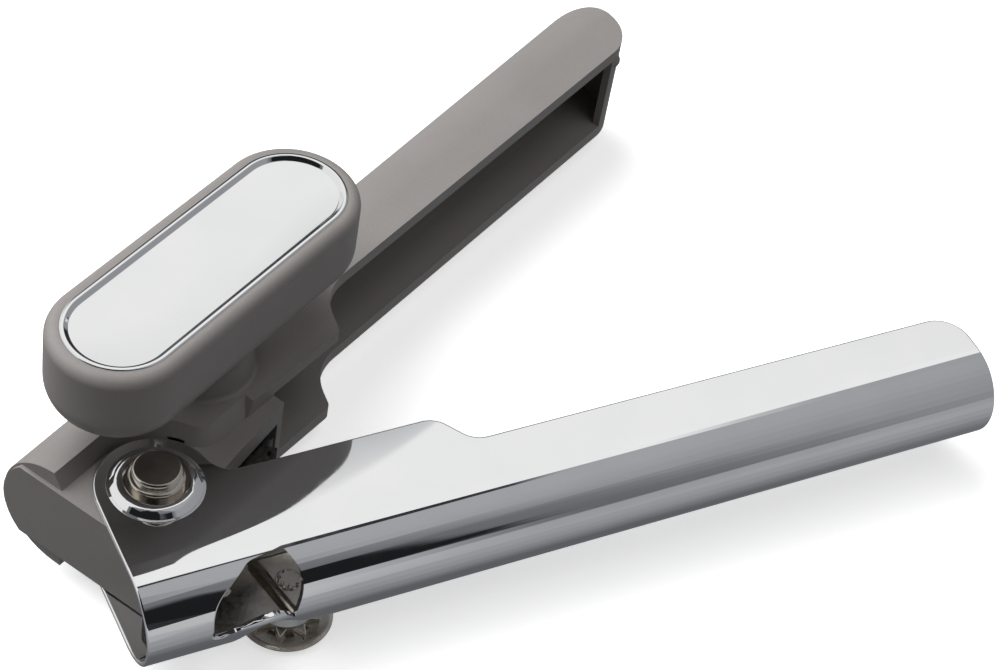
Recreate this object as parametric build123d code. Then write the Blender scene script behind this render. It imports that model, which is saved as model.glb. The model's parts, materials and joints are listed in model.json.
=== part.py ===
from build123d import *
import math
import os

# Manual can opener with a bent steel handle, a moulded grip handle and a long turning knob.
# Millimetres. The model is built round the handle pivot: its axis is Z, the upper face of the
# steel handle is z = 0, and +X runs along the steel handle. The grip handle and all it carries
# are built closed, in line with the steel handle, and then swung open about the pivot.

# ---------------------------------------------------------------- driving dimensions
OPEN_ANGLE = 29.3           # swing of the grip handle away from the closed position
FIT = 0.05                  # radial running clearance of a shaft in its bush
FACE_GAP = 0.05             # axial clearance between faces that slide

# steel handle: sheet bent into an open channel, its round spine on the -Y side
SHEET = 1.2                 # sheet thickness
STEEL_H = 24.0              # height over both flanges
STEEL_SPINE_Y = -21.3       # centre line of the round spine
STEEL_FRONT_X = -13.4       # front edge
STEEL_END_X = 197.5         # far end
STEEL_HEAD_Y = -1.0         # free edge of the flanges along the head
STEEL_GRIP_Y = -9.7         # free edge of the flanges along the hand grip
STEEL_STEP_X = (64.6, 70.6)     # the free edge steps in between these
STEEL_END_ROUND = 7.6       # rounded corner of both flanges at the far end
LOBE_R = 13.4               # round lobe of both flanges about the pivot
LOBE_BLEND = 6.0            # radius that joins the lobe to the free edge
STEEL_STEP_BLEND = 6.0      # rounding of the step's two corners
FEED_NOTCH_WIDTH = 1.6      # room round the feed shaft in the lower flange

# bottle opener cut through the spine's side, as (x, z)
OPENER_FRONT = (1.2, -10.9)
OPENER_TOP = (19.0, -0.25)
OPENER_BACK = (19.4, -13.2)
OPENER_NOSE = (2.0, -13.2)
OPENER_REACH = 14.0         # length of the cut outwards
OPENER_START = 1.5          # the cut begins this far outside the spine's centre line
RELIEF_START = 4.0          # and the arched cut below it this far
RELIEF_X = (5.0, 31.0)
RELIEF_FOOT_Z = -20.5
RELIEF_LOW_Z = -26.0

# collar pressed up round the pivot hole
COLLAR_BASE_R = 10.1
COLLAR_TOP_R = 7.9
COLLAR_BORE_R = 6.9
COLLAR_TOP_Z = 1.9
COLLAR_EDGE = 0.4           # bevel at the mouth of the bore

# bracket inside the lower flange, under the cutter axle
BRACKET_T = 1.2
BRACKET_X = (4.6, 40.0)
BRACKET_EDGE_Y = -11.0
PLATFORM_TOP_Z = -19.0
SHOULDER = ((17.9, -10.0), (22.6, -32.0))       # foot line of the platform's shoulder
SHOULDER_ROUND = 1.4
PLATFORM_END_X = 32.0
RIVET_R = 1.5
RIVET_HEAD_R = 2.5
RIVET_HEAD_T = 0.7
RIVET_FLAT_R = 1.6
BRACKET_RIVETS = ((10.0, -15.0), (36.0, -14.0))

# grip handle: moulded channel, its round spine on the +Y side
GRIP_H = 29.0
GRIP_WALL = 3.4
GRIP_END_WALL = 2.0
GRIP_SPINE_Y = 16.0         # centre line of the round spine at the pivot
GRIP_SPLAY = 0.35           # the spine runs outward by this many degrees
GRIP_NOSE_X = -13.6
GRIP_END_X = 199.9
GRIP_HEAD_EDGE = ((19.0, -1.1), (60.6, -2.0))       # free edge of the plates along the head
GRIP_HAND_EDGE = ((67.6, 8.6), (187.6, 7.1))        # free edge along the hand grip
HEAD_CORNER_R = 2.2         # where the head's edge turns into the step
STEP_SWEEP_R = 15.0         # where the step sweeps into the hand grip
RECESS_R = 14.3             # clearance cut in both plates for the steel lobe
RECESS_SLOPE = 28.0         # the upper recess's wall leans outwards by this many degrees
BLOCK_FRONT = ((-14.6, -10.0), (38.0, -4.4))        # front of the block inside the steel handle
BLOCK_GAP = 0.4             # block to the inside of each steel flange
BOX_ROOF = 5.4              # roof, floor and side of the gear box
BOX_FLOOR = 3.0
BOX_SIDE = 2.0
BOX_BACK_Y = 4.0
BLOCK_BACK_X = 12.5         # the solid pivot block ends and the gear box begins
END_RIB_X = 185.0           # rib across the hollow near the far end
END_RIB_T = 1.6
END_RIB_Y = 20.0
PLATE_SET_BACK = 0.5        # inner form to the outer face of the plates
LUG_R = 2.2                 # rounded lug at the far end's open corner
LUG_OFFSET = (2.4, 1.6)
BOSS_WALL = 2.2             # round the knob shaft's lower bush
EAR_WALL = 1.6              # round the feed shaft's lower bush
GRIP_FAR_Y = 60.0           # bounds of the cutting forms, clear of the handle
GRIP_OVER_Z = 20.0
GRIP_UNDER_Z = -40.0
GRIP_OPEN_Y = -20.0

# gear train: the knob shaft drives the feed shaft beside it
MODULE = 1.0
TEETH = 18
PRESSURE_ANGLE = 20.0
ADDENDUM = 0.95             # in modules
DEDENDUM = 1.25
FLANK_STEPS = 4
BACKLASH = 0.3              # taken off each tooth's width
GEAR_TOP_Z = -8.0
GEAR_FACE = 5.0
HUB_LENGTH = 4.0
HUB_R = 6.0
SPACER_R = 5.8
SPACER_GAP = 0.1            # above the spacer
SPOT_FACE_CLEAR = 0.5       # round the spacer
GEAR_END_CLEAR = 0.6        # gear pocket beyond the feed gear
GEAR_SIDE_CLEAR = 1.9       # gear pocket beyond the pitch circle
PIN_SET_IN = 0.4            # pins are shorter than the hubs by this
KNOB_X = 31.6
KNOB_Y = 14.7
FEED_DIRECTION = -115.0     # from the knob shaft to the feed shaft, degrees

# knob
KNOB_TOP_Z = 35.0
KNOB_BOTTOM_Z = 13.2
KNOB_HALF_LENGTH = 27.9     # half of the straight part
KNOB_R = 15.7
KNOB_TOP_ROUND = 2.6
KNOB_BOTTOM_ROUND = 8.5
INSERT_R = 12.6
INSERT_DEPTH = 2.4
INSERT_RIM = 1.3
INSERT_DISH = 0.7
INSERT_PROUD = 0.3
INSERT_EDGE = 0.4
SQUARE = 6.0                # flats of the square on the knob shaft
SQUARE_TOP_Z = 24.0
SCREW_R = 2.0
SCREW_HEAD_R = 4.2
SCREW_LENGTH = 7.0
SCREW_SEAT = 2.0            # above the end of the square
SCREW_FIT = 0.2
SCREW_SIDE_T = 1.6          # upright side of the screw's head
SCREW_HEAD_T = 2.6
SCREW_DOME = 0.2
SLOT_WIDTH = 0.9            # cross slot of the screw
SLOT_HALF = 2.4
SLOT_FLOOR = 1.2
SQUARE_HEADROOM = 0.4

# tower that carries the knob
TOWER_TOP_Z = 12.8
TOWER_R = 11.8
TOWER_FLARE = 1.2

# shafts
KNOB_SHAFT_R = 4.0
FEED_SHAFT_R = 2.75
BUSH_WALL = 1.0
STUD_BUSH_WALL = 1.4
LOWER_BUSH_TOP_Z = -19.5
LOWER_BUSH_LENGTH = 5.0
PIN_R = 0.8
KNOB_WASHER_R = 7.0
FEED_WASHER_R = 5.0

# cutter and feed wheel
CUTTER_X = 24.0
CUTTER_Y = -19.5
CUTTER_R = 10.7
CUTTER_AXLE_R = 3.0
CUTTER_TOP_Z = -29.9
CUTTER_T = 1.0
CUTTER_HUB_R = 4.4
CUTTER_BEVEL = (1.2, 1.6)   # width of the bevel on the upper and the lower face
CUTTER_EDGE_Z = (0.35, 0.5)     # the blunt edge, above the lower face
AXLE_HEAD_R = 4.6
AXLE_HEAD_T = 1.3
AXLE_HEAD_SIDE = 0.6
AXLE_HEAD_BEVEL = 0.8
STAR_POINTS = 8             # staked end of the axle
STAR_R = (2.5, 1.9)
STAR_SHARES = (0.35, 0.75)
STAR_T = 0.9
SPRING_WASHER_T = 0.6
SPRING_WASHER_R = (6.2, 5.2)
SPRING_WASHER_FIT = 0.1
SPRING_WASHER_TOP = 1.2     # width of the upper seat
DRIVE_RING_TEETH = 9
DRIVE_RING_TIP_R = 8.2
DRIVE_RING_ROOT_R = 5.6
DRIVE_RING_T = 1.6
DRIVE_RING_SHARES = (0.08, 0.80)
FEED_WHEEL_R = 7.6
FEED_WHEEL_TEETH = 22
FEED_WHEEL_TOP_Z = -26.9
FEED_WHEEL_T = 2.6
FEED_WHEEL_DEPTH = 1.0      # of the serrations
FEED_WHEEL_SHARES = (0.12, 0.95)
FEED_NUT_T = 2.2
FEED_NUT_R = 4.6
FEED_SHAFT_HEADROOM = 0.2

# pivot
STUD_R = 6.1
STUD_TOP_Z = 5.5
STUD_TOP_R = 5.3
STUD_FOOT_R = 4.5
STUD_GROOVE_Z = 3.5
BASE_WASHER_T = 1.2
THRUST_WASHER_R = 11.5
BASE_WASHER_WIDTH = 4.5
RETAINING_RING_Z = (0.4, 1.4)

# ---------------------------------------------------------------- derived
MID_Z = -STEEL_H / 2
STEEL_BOTTOM_Z = -STEEL_H
FLANGE_TOP_IN = -SHEET
FLANGE_BOTTOM_IN = -STEEL_H + SHEET
GRIP_TOP_Z = MID_Z + GRIP_H / 2
GRIP_BOTTOM_Z = MID_Z - GRIP_H / 2
BLOCK_TOP_Z = FLANGE_TOP_IN - BLOCK_GAP
BLOCK_BOTTOM_Z = FLANGE_BOTTOM_IN + BLOCK_GAP
ROOF_Z = BLOCK_TOP_Z - BOX_ROOF
FLOOR_Z = BLOCK_BOTTOM_Z + BOX_FLOOR
PITCH_R = MODULE * TEETH / 2
CENTRES = MODULE * TEETH
FEED_X = KNOB_X + CENTRES * math.cos(math.radians(FEED_DIRECTION))
FEED_Y = KNOB_Y + CENTRES * math.sin(math.radians(FEED_DIRECTION))
EAR_TOP_Z = STEEL_BOTTOM_Z - BLOCK_GAP
DRIVE_RING_TOP_Z = CUTTER_TOP_Z + DRIVE_RING_T
KNOB_BUSH_LOW_Z = GRIP_TOP_Z - GRIP_WALL
FEED_BUSH_TOP_Z = BLOCK_TOP_Z - 0.6
PINHOLE_Z = GEAR_TOP_Z - GEAR_FACE - HUB_LENGTH / 2
KNOB_SHAFT_LOW_Z = LOWER_BUSH_TOP_Z - LOWER_BUSH_LENGTH + 0.1

parts = {}


# ---------------------------------------------------------------- helpers
def block(x0, x1, y0, y1, z0, z1):
    """Box between two corners."""
    return Pos((x0 + x1) / 2, (y0 + y1) / 2, (z0 + z1) / 2) * Box(x1 - x0, y1 - y0, z1 - z0)


def rod(x, y, z0, z1, r):
    """Upright cylinder."""
    return Pos(x, y, (z0 + z1) / 2) * Cylinder(r, z1 - z0)


def ring(x, y, z0, z1, r_out, r_in):
    """Upright tube."""
    return rod(x, y, z0, z1, r_out) - rod(x, y, z0 - 1, z1 + 1, r_in)


def prism(face, z0, z1):
    """Plan outline carried from z0 to z1."""
    return extrude(Pos(0, 0, z0) * face, z1 - z0)


def outline(points):
    """Closed plan face through the points."""
    return make_face(Polyline(*points, close=True))


def round_corner(face, x, y, radius):
    """Round the corner of a plan face that lies nearest to (x, y)."""
    corner = face.vertices().sort_by_distance((x, y, 0))[0]
    return fillet(corner, radius)


def turned(profile, x=0.0, y=0.0):
    """Solid of revolution about the upright line through (x, y). The profile lists (radius, z)."""
    section = Plane.XZ * make_face(Polyline(*profile, close=True))
    return Pos(x, y, 0) * revolve(section, Axis.Z)


def d_bar(spine_y, open_y, radius, x0, x1):
    """Bar along X with one half-round side: the outer or inner form of a channel handle."""
    spine = Pos((x0 + x1) / 2, spine_y, MID_Z) * Rot(0, 90, 0) * Cylinder(radius, x1 - x0)
    low, high = min(spine_y, open_y), max(spine_y, open_y)
    return spine + block(x0, x1, low, high, MID_Z - radius, MID_Z + radius)


def edge_y(edge, x):
    """Y on the straight line through the two points of an edge."""
    (xa, ya), (xb, yb) = edge
    return ya + (yb - ya) * (x - xa) / (xb - xa)


def gear_outline(teeth, phase):
    """Involute spur gear outline centred on the origin, one tooth pointing along phase degrees."""
    pitch_r = MODULE * teeth / 2
    base_r = pitch_r * math.cos(math.radians(PRESSURE_ANGLE))
    tip_r = pitch_r + ADDENDUM * MODULE
    root_r = pitch_r - DEDENDUM * MODULE
    half_tooth = (math.pi * MODULE / 2 - BACKLASH) / 2 / pitch_r

    def involute(r):
        angle = math.acos(min(1.0, base_r / r))
        return math.tan(angle) - angle

    foot_r = max(base_r, root_r)
    flank = [foot_r + (tip_r - foot_r) * k / FLANK_STEPS for k in range(FLANK_STEPS + 1)]
    points = []
    for tooth in range(teeth):
        centre = math.radians(phase) + 2 * math.pi * tooth / teeth
        offsets = [half_tooth + involute(pitch_r) - involute(r) for r in flank]
        side = [(root_r, offsets[0])] + list(zip(flank, offsets))
        rising = [(r, centre - a) for r, a in side]
        falling = [(r, centre + a) for r, a in reversed(side)]
        points += [(r * math.cos(a), r * math.sin(a)) for r, a in rising + falling]
    return outline(points)


def toothed_outline(teeth, tip_r, root_r, tip_share, root_share):
    """Wheel outline with straight-sided teeth; the shares are fractions of the tooth spacing."""
    spacing = 2 * math.pi / teeth
    points = []
    for tooth in range(teeth):
        centre = tooth * spacing
        for r, share in ((root_r, -root_share), (tip_r, -tip_share),
                         (tip_r, tip_share), (root_r, root_share)):
            angle = centre + share * spacing / 2
            points.append((r * math.cos(angle), r * math.sin(angle)))
    return outline(points)


# ---------------------------------------------------------------- steel handle group
def steel_outline(notched):
    """Plan outline of a steel flange. The lower flange has a notch that clears the feed shaft."""
    step_a, step_b = STEEL_STEP_X
    far_y = STEEL_SPINE_Y - STEEL_H
    face = outline([(STEEL_FRONT_X, far_y), (STEEL_END_X, far_y), (STEEL_END_X, STEEL_GRIP_Y),
                    (step_b, STEEL_GRIP_Y), (step_a, STEEL_HEAD_Y), (0, STEEL_HEAD_Y),
                    (STEEL_FRONT_X, 0)])
    face = face + Circle(LOBE_R)
    lobe_x = math.sqrt(LOBE_R ** 2 - STEEL_HEAD_Y ** 2)
    for x, y, radius in ((lobe_x, STEEL_HEAD_Y, LOBE_BLEND), (step_a, STEEL_HEAD_Y, STEEL_STEP_BLEND),
                         (step_b, STEEL_GRIP_Y, STEEL_STEP_BLEND),
                         (STEEL_END_X, STEEL_GRIP_Y, STEEL_END_ROUND)):
        face = round_corner(face, x, y, radius)
    if notched:
        notch_r = FEED_SHAFT_R + FEED_NOTCH_WIDTH
        notch = Pos(FEED_X, FEED_Y) * Circle(notch_r)
        notch += Pos(FEED_X, FEED_Y + notch_r) * Rectangle(2 * notch_r, 2 * notch_r)
        face = face - notch
    return face


def opener_hole():
    """Eye-shaped bottle opener cut through the side of the spine."""
    upper = Spline(OPENER_FRONT, (2.8, -4.9), (9.0, -1.3), OPENER_TOP, tangents=((0, 1), (1, 0.05)))
    right = Spline(OPENER_TOP, (21.5, -3.6), (20.6, -8.6), OPENER_BACK)
    lip = Spline(OPENER_BACK, (13.6, -10.7), (8.0, -12.0), OPENER_NOSE)
    nose = Spline(OPENER_NOSE, (1.0, -12.4), OPENER_FRONT)
    face = make_face([upper, right, lip, nose])
    return extrude(Plane.XZ * face, OPENER_REACH, dir=(0, -1, 0))


def lip_relief():
    """Arched cut below the bottle opener's lip, over the cutter."""
    xa, xb = RELIEF_X
    arch = Spline((xa, RELIEF_FOOT_Z), (9.6, -14.6), (13.4, -12.7), (19.0, -14.3), (xb, RELIEF_FOOT_Z))
    base = Polyline((xb, RELIEF_FOOT_Z), (xb, RELIEF_LOW_Z), (xa, RELIEF_LOW_Z), (xa, RELIEF_FOOT_Z))
    return extrude(Plane.XZ * make_face([arch, base]), OPENER_REACH, dir=(0, -1, 0))


def make_steel_handle():
    """Bent sheet handle: two flanges, a half-round spine, the pivot collar and the opener."""
    x0, x1 = STEEL_FRONT_X - 1, STEEL_END_X + 1
    outer = d_bar(STEEL_SPINE_Y, LOBE_R + 2, STEEL_H / 2, x0, x1)
    inner = d_bar(STEEL_SPINE_Y, LOBE_R + 4, STEEL_H / 2 - SHEET, x0 - 1, x1 + 1)
    upper_half = prism(steel_outline(False), MID_Z, 1)
    lower_half = prism(steel_outline(True), STEEL_BOTTOM_Z - 1, MID_Z)
    handle = (outer - inner) & (upper_half + lower_half)
    handle -= Pos(0, STEEL_SPINE_Y - OPENER_START, 0) * opener_hole()
    handle -= Pos(0, STEEL_SPINE_Y - RELIEF_START, 0) * lip_relief()
    collar = turned([(COLLAR_BORE_R, -SHEET), (COLLAR_BORE_R, COLLAR_TOP_Z - COLLAR_EDGE),
                     (COLLAR_BORE_R + COLLAR_EDGE, COLLAR_TOP_Z), (COLLAR_TOP_R, COLLAR_TOP_Z),
                     (COLLAR_BASE_R, 0), (COLLAR_BASE_R, -SHEET)])
    handle -= rod(0, 0, -SHEET - 1, 1, COLLAR_BASE_R - 0.5)
    handle += collar
    handle -= rod(0, 0, STEEL_BOTTOM_Z - 1, FLANGE_BOTTOM_IN + 1, STUD_FOOT_R)
    handle -= rod(CUTTER_X, CUTTER_Y, STEEL_BOTTOM_Z - 1, FLANGE_BOTTOM_IN + 1, CUTTER_AXLE_R)
    for x, y in BRACKET_RIVETS:
        handle -= rod(x, y, STEEL_BOTTOM_Z - 1, FLANGE_BOTTOM_IN + 1, RIVET_R)
    return handle


def make_cutter_bracket():
    """Pressed plate on the inside of the lower flange, raised under the cutter axle."""
    base_z = FLANGE_BOTTOM_IN
    x0, x1 = BRACKET_X
    y_far = STEEL_SPINE_Y - STEEL_H / 2
    plate = block(x0, x1, y_far, BRACKET_EDGE_Y, base_z, base_z + BRACKET_T)
    (xa, ya), (xb, yb) = SHOULDER
    step = outline([(xa, ya), (xb, yb), (PLATFORM_END_X, yb), (PLATFORM_END_X, ya)])
    platform = prism(step, base_z, PLATFORM_TOP_Z) & block(x0, x1, y_far, BRACKET_EDGE_Y, base_z, 0)
    platform = fillet(platform.faces().sort_by(Axis.Z)[-1].edges(), SHOULDER_ROUND)
    channel = d_bar(STEEL_SPINE_Y, 0, STEEL_H / 2 - SHEET, x0 - 1, x1 + 1)
    bracket = (plate + platform) & channel
    bracket -= rod(CUTTER_X, CUTTER_Y, base_z - 1, 0, CUTTER_AXLE_R)
    for x, y in BRACKET_RIVETS:
        bracket -= rod(x, y, base_z - 1, 0, RIVET_R)
    return bracket


def make_bracket_rivets():
    """Two rivets that hold the bracket to the lower flange."""
    top = FLANGE_BOTTOM_IN + BRACKET_T
    low = STEEL_BOTTOM_Z
    rivet = [(0, low - RIVET_HEAD_T), (RIVET_FLAT_R, low - RIVET_HEAD_T), (RIVET_HEAD_R, low),
             (RIVET_R, low), (RIVET_R, top), (RIVET_HEAD_R, top),
             (RIVET_FLAT_R, top + RIVET_HEAD_T), (0, top + RIVET_HEAD_T)]
    return Compound(children=[turned(rivet, x, y) for x, y in BRACKET_RIVETS])


def make_cutter_axle():
    """Fixed axle of the cutter: staked star end inside the handle, round head below."""
    low = CUTTER_TOP_Z - CUTTER_T - FACE_GAP
    foot = low - AXLE_HEAD_T
    axle = rod(CUTTER_X, CUTTER_Y, low, PLATFORM_TOP_Z, CUTTER_AXLE_R)
    axle += turned([(0, foot), (AXLE_HEAD_R - AXLE_HEAD_BEVEL, foot), (AXLE_HEAD_R, low - AXLE_HEAD_SIDE),
                    (AXLE_HEAD_R, low), (0, low)], CUTTER_X, CUTTER_Y)
    star = toothed_outline(STAR_POINTS, *STAR_R, *STAR_SHARES)
    axle += Pos(CUTTER_X, CUTTER_Y, 0) * prism(star, PLATFORM_TOP_Z, PLATFORM_TOP_Z + STAR_T)
    return axle


def make_cutter_spring_washer():
    """Conical spring washer between the lower flange and the cutter."""
    top = STEEL_BOTTOM_Z
    low = DRIVE_RING_TOP_Z + FACE_GAP
    bore = CUTTER_AXLE_R + SPRING_WASHER_FIT
    outer, seat = SPRING_WASHER_R
    return turned([(bore, top), (bore + SPRING_WASHER_TOP, top), (outer, low + SPRING_WASHER_T), (outer, low),
                   (seat, low), (bore, top - SPRING_WASHER_T)], CUTTER_X, CUTTER_Y)


def make_pivot_stud():
    """Pivot of the two handles, riveted into the lower flange."""
    return turned([
        (0, STUD_TOP_Z), (STUD_TOP_R - 0.4, STUD_TOP_Z), (STUD_TOP_R, STUD_TOP_Z - 0.35),
        (STUD_TOP_R + 0.2, STUD_GROOVE_Z + 0.9), (STUD_TOP_R - 0.3, STUD_GROOVE_Z + 0.5),
        (STUD_TOP_R - 0.3, STUD_GROOVE_Z), (STUD_R - 0.2, STUD_GROOVE_Z - 0.3), (STUD_R, STUD_GROOVE_Z - 0.7),
        (STUD_R, FLANGE_BOTTOM_IN), (STUD_FOOT_R, FLANGE_BOTTOM_IN),
        (STUD_FOOT_R, STEEL_BOTTOM_Z - BASE_WASHER_T), (STUD_FOOT_R + 1.3, STEEL_BOTTOM_Z - BASE_WASHER_T),
        (STUD_FOOT_R + 0.6, STEEL_BOTTOM_Z - BASE_WASHER_T - 0.9), (0, STEEL_BOTTOM_Z - BASE_WASHER_T - 1.2)])


def make_steel_group():
    parts["steel_handle"] = make_steel_handle()
    parts["cutter_bracket"] = make_cutter_bracket()
    parts["bracket_rivets"] = make_bracket_rivets()
    parts["cutter_axle"] = make_cutter_axle()
    parts["cutter_spring_washer"] = make_cutter_spring_washer()
    parts["pivot_stud"] = make_pivot_stud()
    parts["pivot_retaining_ring"] = ring(0, 0, *RETAINING_RING_Z, COLLAR_BORE_R, STUD_R)
    parts["pivot_base_washer"] = ring(0, 0, STEEL_BOTTOM_Z - BASE_WASHER_T, STEEL_BOTTOM_Z,
                                      STUD_FOOT_R + BASE_WASHER_WIDTH, STUD_FOOT_R)
    washer_t = BLOCK_GAP - FACE_GAP
    parts["pivot_upper_washer"] = ring(0, 0, FLANGE_TOP_IN - washer_t, FLANGE_TOP_IN, THRUST_WASHER_R, STUD_R)
    parts["pivot_lower_washer"] = ring(0, 0, FLANGE_BOTTOM_IN, FLANGE_BOTTOM_IN + washer_t, THRUST_WASHER_R,
                                       STUD_R)


# ---------------------------------------------------------------- cutter group
def make_cutting_wheel():
    """Thin round cutter, bevelled to an edge all round, with a hub that carries the drive ring."""
    top = CUTTER_TOP_Z
    low = top - CUTTER_T
    bore = CUTTER_AXLE_R + FIT
    hub_top = DRIVE_RING_TOP_Z
    bevel_top, bevel_low = CUTTER_BEVEL
    edge_low, edge_high = CUTTER_EDGE_Z
    return turned([(bore, low), (CUTTER_R - bevel_low, low), (CUTTER_R, low + edge_low),
                   (CUTTER_R, low + edge_high), (CUTTER_R - bevel_top, top), (CUTTER_HUB_R, top),
                   (CUTTER_HUB_R, hub_top), (bore, hub_top)], CUTTER_X, CUTTER_Y)


def make_drive_ring():
    """Coarse toothed ring pressed on the cutter's hub."""
    face = toothed_outline(DRIVE_RING_TEETH, DRIVE_RING_TIP_R, DRIVE_RING_ROOT_R, *DRIVE_RING_SHARES)
    face = face - Circle(CUTTER_HUB_R)
    return Pos(CUTTER_X, CUTTER_Y, 0) * prism(face, CUTTER_TOP_Z, DRIVE_RING_TOP_Z)


# ---------------------------------------------------------------- grip handle group
def grip_outline():
    """Plan outline of the grip handle: head, step, hand grip and round end."""
    (xa, ya), (xb, yb) = GRIP_HEAD_EDGE
    (xc, yc), (xd, yd) = GRIP_HAND_EDGE
    nose_y = edge_y(GRIP_HEAD_EDGE, GRIP_NOSE_X)
    face = outline([(GRIP_NOSE_X, nose_y), (xb, yb), (xc, yc), (xd, yd), (GRIP_END_X, yd),
                    (GRIP_END_X, GRIP_FAR_Y), (GRIP_NOSE_X, GRIP_FAR_Y)])
    face = round_corner(face, xb, yb, HEAD_CORNER_R)
    face = round_corner(face, xc, yc, STEP_SWEEP_R)
    end_r = GRIP_END_X - xd
    end_cap = Pos(xd, yd + end_r) * Circle(end_r)
    end_square = Pos(xd + end_r, yd + end_r) * Rectangle(2 * end_r, 4 * end_r)
    return face - (end_square - end_cap)


def recess_outline():
    """Room for the steel lobe to swing in: open towards the nose, blended into the free edge."""
    reach = 2 * RECESS_R
    edge = edge_y(GRIP_HEAD_EDGE, RECESS_R)
    low = edge - reach
    face = Circle(RECESS_R) + Pos(-reach / 2, (low + RECESS_R) / 2) * Rectangle(reach, RECESS_R - low)
    face += Pos(reach / 2, edge - reach / 2) * Rectangle(reach, reach)
    return round_corner(face, math.sqrt(RECESS_R ** 2 - edge ** 2), edge, LOBE_BLEND)


def splayed(shape):
    return Rot(0, 0, GRIP_SPLAY) * shape


def make_grip_channel():
    """Outer form of the handle and the hollow inside it, closed at the far end."""
    x0, x1 = GRIP_NOSE_X - 5, GRIP_END_X + 5
    outer = splayed(d_bar(GRIP_SPINE_Y, GRIP_OPEN_Y, GRIP_H / 2, x0, x1))
    outer = outer & prism(grip_outline(), GRIP_UNDER_Z, GRIP_OVER_Z)
    hollow = splayed(d_bar(GRIP_SPINE_Y, GRIP_OPEN_Y - 1, GRIP_H / 2 - GRIP_WALL, x0 - 1, x1 + 1))
    xd, yd = GRIP_HAND_EDGE[1]
    end_r = GRIP_END_X - xd
    hollow_plan = Pos(xd, yd + end_r) * Circle(end_r - GRIP_END_WALL)
    hollow_plan += Pos((x0 + xd) / 2, 0) * Rectangle(xd - x0, 2 * GRIP_FAR_Y)
    return outer, hollow & prism(hollow_plan, GRIP_UNDER_Z, GRIP_OVER_Z)


def make_grip_handle():
    """Moulded handle: channel, pivot block, gear box, knob tower and feed shaft ear."""
    outer, hollow = make_grip_channel()
    (xn, yn), (xe, ye) = BLOCK_FRONT
    block_plan = outline([(xn, yn), (xe, ye), (xe, BOX_BACK_Y), (BLOCK_BACK_X, BOX_BACK_Y),
                          (BLOCK_BACK_X, GRIP_FAR_Y), (xn, GRIP_FAR_Y)])
    core = prism(block_plan, BLOCK_BOTTOM_Z, BLOCK_TOP_Z)
    inside = splayed(d_bar(GRIP_SPINE_Y, GRIP_OPEN_Y, GRIP_H / 2 - PLATE_SET_BACK, xn - 1, GRIP_END_X))
    core = core & (inside & block(xn, GRIP_END_X, GRIP_OPEN_Y, GRIP_FAR_Y, GRIP_UNDER_Z, GRIP_OVER_Z))
    plate_fill = prism(block_plan, GRIP_BOTTOM_Z + PLATE_SET_BACK, GRIP_TOP_Z - PLATE_SET_BACK)
    plate_fill = plate_fill & outer & inside
    cavity = block(BLOCK_BACK_X, xe - BOX_SIDE, GRIP_OPEN_Y, BOX_BACK_Y + 0.1, FLOOR_Z, ROOF_Z)
    recess = recess_outline()
    shell = outer - hollow + plate_fill
    shell += make_tower()
    shell -= extrude(Pos(0, 0, BLOCK_TOP_Z) * recess, GRIP_TOP_Z + 1 - BLOCK_TOP_Z, taper=-RECESS_SLOPE)
    shell -= prism(recess, GRIP_BOTTOM_Z - 1, BLOCK_BOTTOM_Z)
    handle = shell + core - cavity
    handle += make_ear()
    pocket_low = GEAR_TOP_Z - GEAR_FACE - HUB_LENGTH - GEAR_END_CLEAR
    handle -= rod(FEED_X, FEED_Y, pocket_low, GEAR_TOP_Z + GEAR_END_CLEAR, PITCH_R + GEAR_SIDE_CLEAR)
    boss_r = KNOB_SHAFT_R + BUSH_WALL + BOSS_WALL
    handle += rod(KNOB_X, KNOB_Y, GRIP_BOTTOM_Z + PLATE_SET_BACK, LOWER_BUSH_TOP_Z, boss_r)
    handle += end_lug()
    rib = block(END_RIB_X, END_RIB_X + END_RIB_T, END_RIB_Y, GRIP_FAR_Y, GRIP_UNDER_Z, GRIP_OVER_Z)
    handle += rib & hollow
    handle -= rod(KNOB_X, KNOB_Y, GEAR_TOP_Z, GRIP_TOP_Z - GRIP_WALL, SPACER_R + SPOT_FACE_CLEAR)
    return handle - bush_pockets()


def make_tower():
    """Round housing on the upper plate for the knob shaft's upper bush, flared at its foot."""
    low = GRIP_TOP_Z - 1.0
    flare = [(0, low), (TOWER_R + TOWER_FLARE, low), (TOWER_R + TOWER_FLARE, GRIP_TOP_Z),
             (TOWER_R + TOWER_FLARE / 3, GRIP_TOP_Z + TOWER_FLARE / 3), (TOWER_R, GRIP_TOP_Z + TOWER_FLARE),
             (TOWER_R, TOWER_TOP_Z), (0, TOWER_TOP_Z)]
    return turned(flare, KNOB_X, KNOB_Y)


def make_ear():
    """Part of the lower plate that reaches out round the feed shaft, below the steel flange."""
    ear_r = FEED_SHAFT_R + BUSH_WALL + EAR_WALL
    plan = Pos(FEED_X, FEED_Y) * Circle(ear_r)
    plan += Pos(FEED_X, FEED_Y + 5) * Rectangle(2 * ear_r, 10)
    return prism(plan, GRIP_BOTTOM_Z, EAR_TOP_Z)


def end_lug():
    """Small rounded lug at the open corner of the far end."""
    x, y = GRIP_HAND_EDGE[1]
    out, up = LUG_OFFSET
    return Pos(x + out, y + up, GRIP_TOP_Z - GRIP_WALL - up) * Sphere(LUG_R)


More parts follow.
